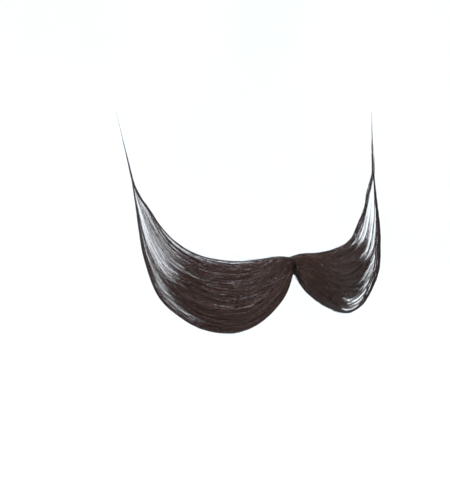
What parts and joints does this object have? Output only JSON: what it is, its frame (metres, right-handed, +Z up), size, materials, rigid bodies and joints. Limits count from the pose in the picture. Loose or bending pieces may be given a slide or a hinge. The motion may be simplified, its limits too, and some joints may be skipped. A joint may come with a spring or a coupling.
{
  "type": "fake moustache",
  "caption": "Long false handlebar moustache with two combed wings of hair that curl up into fine points, on a stick-on cloth backing.",
  "frame": {"origin": "middle of the backing's back face, where it sticks to the upper lip under the nose", "axes": "+Z up, -Y the way the wearer looks, +X towards the wearer's left; the wings reach out along X"},
  "size_m": [0.189, 0.0332, 0.1449],
  "materials": {
    "hair": "satin synthetic hair",
    "cloth": "matte woven cloth"
  },
  "bodies": {
    "root": {"backing": "cloth", "right_long_hair": "hair", "right_short_hair": "hair", "left_long_hair": "hair", "left_short_hair": "hair"}
  },
  "joints": []
}
